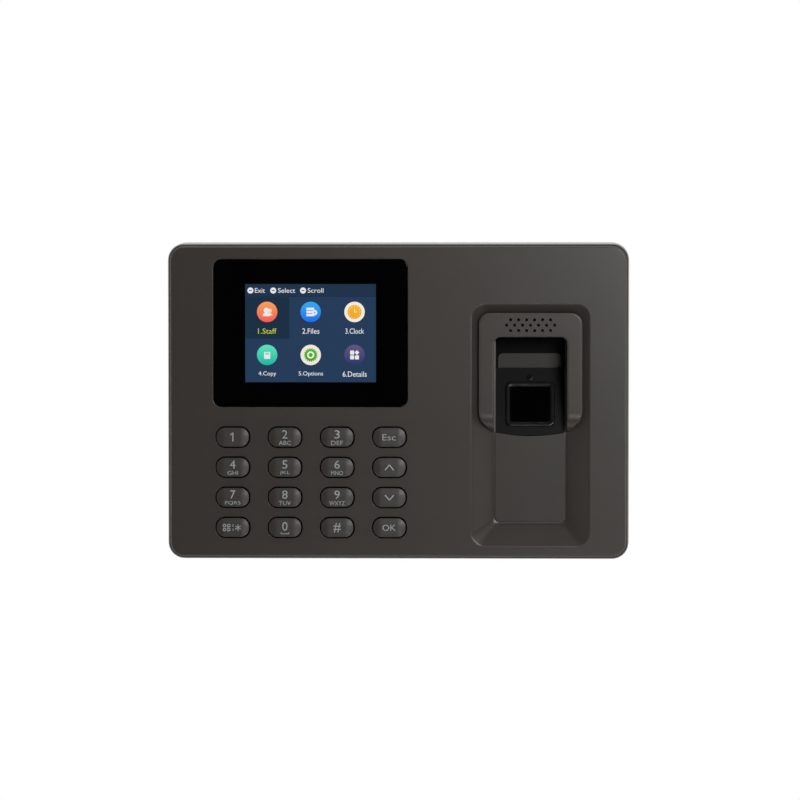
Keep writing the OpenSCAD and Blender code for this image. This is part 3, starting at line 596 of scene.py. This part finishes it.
def add_legend(shell, digit, letters, cx, cy):
    """The signs on a cap, a hair above its surface."""
    def up(x, y):
        return crown(x - cx, y - cy) + 0.012

    def line(points, width):
        stroke(shell, [(cx + x, cy + y) for x, y in points], width, up, 1)

    if digit in ("up", "down"):
        s = 1 if digit == "up" else -1
        line([(-1.6, -0.95 * s), (0, 0.95 * s), (1.6, -0.95 * s)], 0.42)
    elif digit == "menu":
        for dx, dy in ((-0.8, -0.75), (-0.8, 0.75), (0.8, -0.75), (0.8, 0.75)):
            loop = rounded(1.25, 1.25, 0.45, cx - 2.3 + dx, cy + dy, steps=4)
            solid = (dx, dy) == (-0.8, 0.75)
            shell.fill([loop] + ([] if solid else [inset(loop, 0.3)]), up, mat=1)
        for dy in (-0.8, 0.8):
            line([(0.1, dy - 0.5), (0.1, dy + 0.5)], 0.26)
        for turn in (0, 60, 120):
            a = math.radians(turn + 90)
            dx, dy = 1.2 * math.cos(a), 1.2 * math.sin(a)
            line([(2.0 - dx, -dy), (2.0 + dx, dy)], 0.32)
    elif letters is None:
        write(shell, digit, cx - 0.1, cy, 2.3, up, 1, width=5.0)
    elif digit == "1":
        line([(-0.85, 0.85), (0.12, 1.6)], 0.38)
        line([(0.12, 1.75), (0.12, -1.6)], 0.42)
    elif digit == "#":
        write(shell, digit, cx, cy, 3.5, up, 1, width=2.8)
    elif letters == "space":
        write(shell, digit, cx, cy + 0.5, 3.3, up, 1, width=2.0)
        line([(-1.45, -1.75), (-1.45, -2.3), (1.45, -2.3), (1.45, -1.75)], 0.28)
    else:
        wide = 3.9 if letters in ("GHI", "JKL") else 1.35 * len(letters) + 0.4
        write(shell, digit, cx, cy + 1.1, 3.1, up, 1, width=2.0)
        write(shell, letters, cx, cy - 2.1, 1.6, up, 1, width=wide)


def make_key(i):
    name, digit, letters = KEYS[i]
    cx, cy = key_at(i)
    shell = Shell()

    def ring(back, h):
        r = max(0.05, KEY_R - back)
        return lift(rounded(KEY_W - 2 * back, KEY_H - 2 * back, r, cx, cy, steps=8), h)

    rings = []
    for back in (3.2, 2.6, 2.0, 1.5, 1.0, 0.6, CAP_ROUND):
        rings.append(ring(back, crown(KEY_W / 2 - back, 0)))
    rim = crown(KEY_W / 2 - CAP_ROUND, 0)
    for k in range(1, 6):
        a = math.pi / 2 * k / 5
        rings.append(ring(CAP_ROUND * (1 - math.sin(a)), rim - 0.30 * (1 - math.cos(a))))
    shell.strips(rings[:-3], flip=True)
    # Lower rim, skirt, flange and stem: black moulding, made near-black as painted shade in the gap
    # around the cap.
    shell.strips(rings[-4:] + [ring(0.0, CAP_LOW)], mat=2, flip=True)
    top = rounded(KEY_W - 6.4, KEY_H - 6.4, 0.1, cx, cy, steps=8)
    shell.fill([top], crown(KEY_W / 2 - 3.2, 0))
    flange = rounded(14.5, 9.4, 1.2, cx, cy, steps=4)
    shell.fill([flange, rounded(KEY_W, KEY_H, KEY_R, cx, cy, steps=8)], CAP_LOW, mat=2)
    stem = rounded(5, 4, 1, cx, cy, steps=4)
    shell.strips([lift(flange, CAP_LOW), lift(flange, FLANGE_LOW)], mat=2, flip=True)
    shell.fill([flange, stem], FLANGE_LOW, mat=2, flip=True)
    shell.strips([lift(stem, FLANGE_LOW), lift(stem, STEM_LOW)], mat=2, flip=True)
    shell.fill([stem], STEM_LOW, mat=2, flip=True)
    add_legend(shell, digit, letters, cx, cy)
    obj = shell.finish(name + "_cap", [CAPS, LEGEND, SHADE])
    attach(obj, name)
    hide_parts(name)


# ---------------------------------------------------------------- keypad membrane

SHEET_LOW, SHEET_TOP, DOME_TOP = 25.0, 26.0, 27.8
HOLLOW_TOP, HOLLOW_LOW = 2.35, 2.8


def sheet_half():
    """Right half of the sheet's outline, bottom to top, with the notch for a board post."""
    x, y = 39.3, PAD_Y - 22.8
    return (arc(x, y + 2, 2, -90, -43.2, 5) + arc(x, y + 2.6, 2.45, -53.5, -324.7, 20)[1:]
            + arc(x, PAD_Y + 20.8, 2, 0, 90, 6))


def make_membrane():
    """The silicone sheet, and one hollow dome under each key."""
    middle = LCD_X + 0.2
    outline = shifted(sheet_half() + mirror(sheet_half()), middle)
    shell = Shell()
    upper = [circle(*key_at(i), HOLLOW_TOP) for i in range(16)]
    lower = [circle(*key_at(i), HOLLOW_LOW) for i in range(16)]
    shell.fill([outline] + upper, SHEET_TOP)
    shell.fill([outline] + lower, SHEET_LOW, flip=True)
    shell.strips([lift(outline, SHEET_TOP), lift(outline, SHEET_LOW)], flip=True)
    for a, b in zip(upper, lower):
        shell.strips([lift(a, SHEET_TOP), lift(b, SHEET_LOW)])
    sheet = shell.finish("membrane_sheet", [RUBBER])
    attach(sheet, "terminal")
    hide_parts("keypad_membrane")
    profile = [(2.05, DOME_TOP), (2.25, DOME_TOP - 0.08), (2.4, DOME_TOP - 0.3), (3.1, SHEET_TOP + 0.35),
               (3.3, SHEET_TOP), (HOLLOW_TOP, SHEET_TOP), (1.8, DOME_TOP - 0.6)]
    for i in range(16):
        cx, cy = key_at(i)
        shell = Shell()
        shell.strips([lift(circle(cx, cy, r, 28), h) for r, h in profile], flip=True)
        shell.fill([circle(cx, cy, profile[0][0], 28)], DOME_TOP)
        shell.fill([circle(cx, cy, profile[-1][0], 28)], profile[-1][1], flip=True)
        name = KEYS[i][0]
        dome = shell.finish(name + "_dome", [RUBBER])
        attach(dome, "terminal")
        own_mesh(dome)


# ---------------------------------------------------------------- display

def make_window():
    shell = Shell()
    outer = rounded(LENS_W, LENS_H, LENS_R, LCD_X, LCD_Y)
    clear = rounded(ACTIVE_W - 0.1, ACTIVE_H - 0.1, 0.2, LCD_X, LCD_Y, steps=3)
    edge = 0.15
    shell.strips(fillet(outer, LENS_TOP, edge, steps=4) + [lift(outer, LENS_LOW)], flip=True)
    shell.fill([inset(outer, edge), clear], LENS_TOP)
    shell.fill([outer, clear], LENS_LOW, flip=True)
    shell.fill([clear], LENS_TOP, mat=1)
    shell.strips([lift(clear, LENS_TOP), lift(clear, LENS_LOW)])
    obj = shell.finish("display_glass", [BLACK_GLASS, CLEAR])
    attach(obj, "terminal")
    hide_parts("display_window")


def clear_glass():
    """Window over the picture: almost all light passes, a little gloss stays."""
    mat = bpy.data.materials.new("clear_window")
    mat.use_nodes = True
    bsdf = mat.node_tree.nodes["Principled BSDF"]
    bsdf.inputs["Base Color"].default_value = (0.01, 0.01, 0.012, 1.0)
    bsdf.inputs["Roughness"].default_value = 0.05
    bsdf.inputs["Alpha"].default_value = 0.08
    return mat


CLEAR = clear_glass()
LIT = {}
PICTURE, LAYER, ICON = 28.71, 0.012, 3.82


def lit(code, to=None, low=0.0, high=0.001):
    """One material for each colour, or for each blend between two heights in mm."""
    key = (code, to, low, high)
    if key not in LIT:
        LIT[key] = glow("lit_%d" % len(LIT), code, to, low / 1000, high / 1000)
    return LIT[key]


class Screen:
    """The picture on the display: flat shapes stacked a hair apart.

    u runs right and v down from the picture's top left corner, in mm.
    """

    def __init__(self):
        self.shell = Shell()
        self.mats = []

    def index(self, mat):
        if mat not in self.mats:
            self.mats.append(mat)
        return self.mats.index(mat)

    def at(self, u, v):
        return LCD_X - ACTIVE_W / 2 + u, LCD_Y + ACTIVE_H / 2 - v

    def shape(self, outline, level, mat):
        loop = [self.at(u, v) for u, v in outline][::-1]
        self.shell.fill([loop], PICTURE + level * LAYER, mat=self.index(mat))

    def rect(self, u0, v0, u1, v1, level, mat):
        self.shape([(u0, v0), (u1, v0), (u1, v1), (u0, v1)], level, mat)

    def disc(self, u, v, r, level, mat, steps=40):
        self.shape(circle(u, v, r, steps), level, mat)

    def words(self, text, u, v, height, level, mat, width=None):
        x, y = self.at(u, v)
        write(self.shell, text, x, y, height, lambda a, b: PICTURE + level * LAYER,
              self.index(mat), width, 9.0)


def make_screen():
    pic = Screen()
    night, bar, tile = lit("#273d5a"), lit("#22354d"), lit("#1d3146")
    white, yellow, pale = lit("#e9edf0"), lit("#c3d22c"), lit("#f6efe2")
    pic.rect(0, 0, ACTIVE_W, ACTIVE_H, 0, night)
    pic.rect(0, 0, ACTIVE_W, 4.7, 1, bar)
    pic.rect(0, 4.7, ACTIVE_W, 4.85, 1, lit("#1c2c42"))
    pic.rect(0, 4.93, 16.4, 20.5, 1, tile)
    for u, word, x0, x1 in ((1.86, "Exit", 3.55, 7.3), (10.4, "Select", 12.2, 18.6),
                            (21.55, "Scroll", 23.3, 29.2)):
        pic.disc(u, 2.47, 1.12, 2, white)
        pic.rect(u - 0.5, 2.3, u + 0.5, 2.64, 3, bar)
        pic.words(word, (x0 + x1) / 2, 2.45, 1.75, 2, white, width=x1 - x0)
    cells = [(u, v) for v in (10.47, 26.55) for u in (8.1, 24.4, 40.8)]
    names = [("1.Staff", 6.9), ("2.Files", 6.4), ("3.Clock", 7.0),
             ("4.Copy", 6.6), ("5.Options", 9.2), ("6.Details", 9.0)]
    for k, ((u, v), (word, width)) in enumerate(zip(cells, names)):
        pic.words(word, u + 0.05, v + 7.15, 2.0, 2, yellow if k == 0 else white, width=width)

    def blend(low, high, v):
        z = LCD_Y + ACTIVE_H / 2 - v
        return lit(low, high, z - 3.8, z + 3.8)

    u, v = cells[0]
    pic.disc(u, v, ICON, 2, blend("#f85a55", "#fba65c", v))
    pic.disc(u + 0.95, v - 0.45, 0.8, 3, lit("#ffd9c4"))
    pic.shape([(u + 0.1, v + 1.3), (u + 0.5, v + 0.4), (u + 1.3, v + 0.35), (u + 2.1, v + 1.3)],
              3, lit("#ffd9c4"))
    pic.disc(u - 0.3, v - 0.6, 0.98, 4, white)
    pic.shape([(u - 1.7, v + 1.6), (u - 1.5, v + 0.7), (u - 0.8, v + 0.25), (u + 0.2, v + 0.25),
               (u + 0.9, v + 0.7), (u + 1.1, v + 1.6)], 4, white)

    u, v = cells[1]
    pic.disc(u, v, ICON, 2, blend("#1f6df2", "#39aef0", v))
    for k in range(3):
        top = v - 1.6 + k * 1.15
        pic.rect(u - 1.6, top, u + 1.3, top + 0.9, 3, white)
    pic.disc(u + 1.5, v + 0.25, 1.0, 4, white)
    pic.shape([(u + 1.1, v + 0.1), (u + 1.9, v + 0.1), (u + 1.5, v + 0.65)], 5, lit("#2c86f0"))

    u, v = cells[2]
    pic.disc(u, v, ICON, 2, pale)
    pic.disc(u, v, 2.65, 3, blend("#f4a512", "#fbbd28", v))
    for k in range(12):
        a = math.radians(30 * k)
        pic.disc(u + 2.1 * math.cos(a), v + 2.1 * math.sin(a), 0.16, 4, pale, 8)
    pic.shape([(u - 0.12, v + 0.1), (u - 0.12, v - 1.3), (u + 0.12, v - 1.3), (u + 0.12, v + 0.1)],
              4, pale)
    pic.shape([(u - 0.1, v - 0.1), (u + 1.0, v - 0.1), (u + 1.0, v + 0.14), (u - 0.1, v + 0.14)],
              4, pale)

    u, v = cells[3]
    pic.disc(u, v, ICON, 2, blend("#17b8a2", "#63e6c2", v))
    pic.rect(u - 1.15, v - 1.1, u + 1.15, v + 1.45, 3, white)
    pic.rect(u - 0.75, v - 0.8, u + 0.75, v - 0.05, 4, lit("#8fd8c9"))

    u, v = cells[4]
    pic.disc(u, v, ICON, 2, lit("#f3ebe0"))
    gear = []
    for k in range(72):
        a = math.radians(5 * k)
        r = 2.6 if k % 4 in (0, 1) else 2.2
        gear.append((u + r * math.cos(a), v + r * math.sin(a)))
    pic.shape(gear, 3, blend("#3f9f1c", "#5fbf2e", v))
    pic.disc(u, v, 1.35, 4, lit("#eef6e6"))
    pic.disc(u, v, 0.75, 5, lit("#4aab24"))

    u, v = cells[5]
    pic.disc(u, v, ICON, 2, blend("#29366b", "#675984", v))
    for dx, dy in ((-0.9, -0.9), (-0.9, 0.9), (0.9, 0.9)):
        pic.shape(rounded(1.5, 1.5, 0.2, u + dx, v + dy, 3), 3, white)
    pic.shape([(u + 0.9, v - 1.8), (u + 1.8, v - 0.9), (u + 0.9, v), (u, v - 0.9)], 3, white)

    obj = pic.shell.finish("display_picture", pic.mats, weighted=False)
    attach(obj, "terminal")


# ---------------------------------------------------------------- reader

TILT = math.radians(20.0)
SLOPE_Y, SLOPE_H = -1.25, 22.87
RING_TOP, LED_V = 0.9, 10.6


def on_slope(x, u, v):
    """A point on the sensor face: u up the slope, v out of it."""
    return point(FP_X + x, SLOPE_Y + u * math.cos(TILT) + v * math.sin(TILT),
                 SLOPE_H - u * math.sin(TILT) + v * math.cos(TILT))


def slope_ring(loop, v):
    return [on_slope(x, u, v) for x, u in loop]


def slope_fill(shell, loops, v, mat=0):
    """As Shell.fill, on the sensor face."""
    shell.patch(loops, lambda x, u: on_slope(x, u, v), mat)


def make_holder():
    shell = Shell()
    half = MOUTH_W / 2 - 0.15
    low = []
    for k in range(25):
        x = -half + 2 * half * k / 24
        low.append((x, (smile_y(abs(x)) + 0.15 - SLOPE_Y) / math.cos(TILT)))
    plate = low + [(half, 14.4), (-half, 14.4)]
    ring = rounded(18.5, 17.7, 2.2, steps=8)
    hole = circle(0, LED_V, 0.65, 24)
    collar = circle(0, LED_V, 1.25, 24)
    slope_fill(shell, [plate, ring, collar], 0.0)
    shell.strips([slope_ring(plate, 0.0), slope_ring(plate, -1.6)], flip=True)
    rise = []
    for k in range(6):
        a = math.pi / 2 * k / 5
        rise.append(slope_ring(inset(ring, 0.35 * (1 - math.cos(a)) + 0.12), 0.55 + 0.35 * math.sin(a)))
    shell.strips([slope_ring(ring, 0.0)] + rise, mat=1)
    inner = rounded(15.6, 14.9, 1.0, steps=8)
    glass = rounded(14.4, 13.7, 0.5, steps=8)
    slope_fill(shell, [inset(ring, 0.47), inner], RING_TOP, mat=1)
    shell.strips([slope_ring(inner, RING_TOP), slope_ring(inset(inner, 0.15), 0.84),
                  slope_ring(glass, 0.42), slope_ring(inset(glass, 0.02), -1.0)], mat=1)
    shell.strips([slope_ring(collar, 0.0), slope_ring(inset(collar, 0.1), 0.3),
                  slope_ring(inset(collar, 0.2), 0.35), slope_ring(hole, 0.35),
                  slope_ring(hole, -1.2)])
    frame_loop = [(FP_X - half, 11.9), (FP_X + half, 11.9), (FP_X + half, 23.85), (FP_X - half, 23.85)]
    band = shifted([(-11.9, 12.3), (11.9, 12.3)] + arc(9.9, 15.9, 2.0, 0, 90, 8)
                   + arc(-9.9, 15.9, 2.0, 90, 180, 8), FP_X)
    shell.fill([frame_loop, band], 17.8, mat=2)
    shell.strips([lift(band, 17.8), lift(band, 17.05)], mat=2)
    obj = shell.finish("sensor_face", [SATIN_BLACK, RING_BLACK, FRAME_BLACK])
    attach(obj, "terminal")
    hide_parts("sensor_holder")


def make_finger_window():
    shell = Shell()
    glass = rounded(14.36, 13.66, 0.5, steps=8)
    pane = inset(glass, 0.08)
    shell.strips([slope_ring(pane, 0.33), slope_ring(glass, 0.27), slope_ring(glass, -0.9)], flip=True)
    slope_fill(shell, [pane], 0.33)
    obj = shell.finish("finger_window", [GLASS_BLACK])
    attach(obj, "terminal")


# ---------------------------------------------------------------- carried-over nodes

def dress(node, mat, bevel):
    """A CAD node keeps its shape and gets a finish; given a bevel width, its sharp edges are rounded
    over.
    """
    obj = NODES[node]
    obj.data.materials.clear()
    obj.data.materials.append(mat)
    if bevel:
        weld = obj.modifiers.new("weld", "WELD")
        weld.merge_threshold = 0.00001
        mod = obj.modifiers.new("edges", "BEVEL")
        mod.width = bevel / 1000
        mod.segments = 2
        mod.limit_method = "ANGLE"
        mod.angle_limit = math.radians(35.0)
        mod.use_clamp_overlap = True
        mod.harden_normals = True


make_front()
for number in range(16):
    make_key(number)
make_membrane()
make_window()
make_screen()
make_holder()
make_finger_window()

for node, mat, bevel in (
        ("rear_cover", REAR, 0.35), ("window_tape", DARK, 0), ("lcd_panel", DARK, 0),
        ("lcd_frame", PLATED, 0), ("lcd_foam", DARK, 0), ("lcd_flex", COPPER, 0),
        ("front_board", BOARD, 0), ("front_board_parts", DARK, 0),
        ("main_board", BOARD, 0), ("main_board_chips", DARK, 0.1),
        ("main_board_parts", PLATED, 0.1), ("board_header", DARK, 0), ("wire_connectors", NYLON, 0.15),
        ("usb_socket", PLATED, 0.12), ("usb_tongue", NYLON, 0.1), ("power_jack", DARK, 0.2),
        ("battery_holder", DARK, 0), ("clock_battery", STEEL, 0), ("reset_switch", DARK, 0),
        ("reset_plunger", RED, 0), ("board_screws", STEEL, 0), ("front_board_screws", STEEL, 0),
        ("sensor_led", SMOKE, 0.1), ("sensor_prism", GLASS_BLACK, 0), ("sensor_housing", DARK, 0),
        ("sensor_screws", STEEL, 0), ("sensor_lens", DARK, 0), ("camera_board", BOARD, 0),
        ("light_board", BOARD, 0), ("sensor_board", BOARD, 0), ("sensor_cable", NYLON, 0),
        ("speaker_frame", DARK, 0), ("speaker_cone", PAPER, 0), ("speaker_mesh", GAUZE, 0),
        ("cover_screws", STEEL, 0.12), ("wall_bracket", GALVANISED, 0.15),
        ("security_screw", STEEL, 0.15)):
    dress(node, mat, bevel)


# ---------------------------------------------------------------- studio

def area(name, at, width, height, power):
    """A rectangular light that faces the object."""
    data = bpy.data.lights.new(name, "AREA")
    data.shape = "RECTANGLE"
    data.size = width
    data.size_y = height
    data.energy = power
    obj = bpy.data.objects.new(name, data)
    obj.location = at
    obj.rotation_euler = (Vector((0.0, -0.02, 0.0)) - Vector(at)).to_track_quat("-Z", "Y").to_euler()
    bpy.context.collection.objects.link(obj)


camera = bpy.data.cameras.new("camera")
camera.lens = 144.86
camera.sensor_width = 36.0
camera.clip_start = 0.01
camera_obj = bpy.data.objects.new("camera", camera)
bpy.context.collection.objects.link(camera_obj)
camera_obj.location = (0.0297, -1.2311, 0.0370)
camera_obj.rotation_euler = (math.radians(90.0 - 1.739), 0.0, math.radians(1.381))
bpy.context.scene.camera = camera_obj

# Name, place, width, height and power of each light.
LIGHTS = [
    ("key_light", (0.30, -0.80, 0.20), 0.24, 0.24, 2.35),
    ("low_light", (0.20, -1.03, -0.45), 0.13, 0.10, 1.25),
    ("right_strip", (0.95, -0.28, 0.05), 0.05, 0.9, 1.0),
    ("left_strip", (-0.95, -0.28, 0.05), 0.05, 0.9, 0.5),
    ("left_light", (-0.70, -0.75, 0.10), 0.08, 0.8, 0.12),
    ("top_strip", (0.1, -0.32, 0.95), 0.9, 0.05, 0.9),
]
for light in LIGHTS:
    area(*light)
# Strength of the room by direction, from straight in front of the object to straight behind it.
ROOM = [(0.0, 0.012), (0.405, 0.012), (0.46, 2.4), (0.53, 2.4),
        (0.60, 0.8), (0.95, 0.8), (0.98, 1.9), (1.0, 1.9)]

world = bpy.data.worlds.new("studio")
bpy.context.scene.world = world
world.use_nodes = True
tree = world.node_tree
tree.nodes.clear()
path = tree.nodes.new("ShaderNodeLightPath")
seen = tree.nodes.new("ShaderNodeBackground")
seen.inputs["Color"].default_value = (1.0, 1.0, 1.0, 1.0)
seen.inputs["Strength"].default_value = 1.0
aim = tree.nodes.new("ShaderNodeTexCoord")
axes = tree.nodes.new("ShaderNodeSeparateXYZ")
turn = tree.nodes.new("ShaderNodeMapRange")
turn.inputs["From Min"].default_value = -1.0
ramp = tree.nodes.new("ShaderNodeValToRGB")
ramp.color_ramp.interpolation = "EASE"
peak = max(strength for _, strength in ROOM)
while len(ramp.color_ramp.elements) < len(ROOM):
    ramp.color_ramp.elements.new(0.5)
for stop, (place, strength) in zip(ramp.color_ramp.elements, ROOM):
    stop.position = place
    stop.color = (strength / peak, strength / peak, strength / peak, 1.0)
scale = tree.nodes.new("ShaderNodeMath")
scale.operation = "MULTIPLY"
scale.inputs[1].default_value = peak
room = tree.nodes.new("ShaderNodeBackground")
room.inputs["Color"].default_value = (1.0, 1.0, 1.0, 1.0)
mix = tree.nodes.new("ShaderNodeMixShader")
out = tree.nodes.new("ShaderNodeOutputWorld")
tree.links.new(aim.outputs["Generated"], axes.inputs[0])
tree.links.new(axes.outputs["Y"], turn.inputs["Value"])
tree.links.new(turn.outputs[0], ramp.inputs["Fac"])
tree.links.new(ramp.outputs["Color"], scale.inputs[0])
tree.links.new(scale.outputs[0], room.inputs["Strength"])
tree.links.new(path.outputs["Is Camera Ray"], mix.inputs["Fac"])
tree.links.new(room.outputs[0], mix.inputs[1])
tree.links.new(seen.outputs[0], mix.inputs[2])
tree.links.new(mix.outputs[0], out.inputs["Surface"])

floor_mesh = bpy.data.meshes.new("floor")
bm = bmesh.new()
bmesh.ops.create_grid(bm, x_segments=1, y_segments=1, size=1.0)
bm.to_mesh(floor_mesh)
bm.free()
floor = bpy.data.objects.new("floor", floor_mesh)
floor.location = (0.0, 0.6, -0.7)
floor_mesh.materials.append(finish("floor_paint", "#f2f1ee", 0.7, vary=0.01, grain=300, bump=0.02))
bpy.context.collection.objects.link(floor)

bpy.context.scene.view_settings.view_transform = "Standard"
bpy.context.scene.view_settings.look = "None"

bpy.context.view_layer.update()
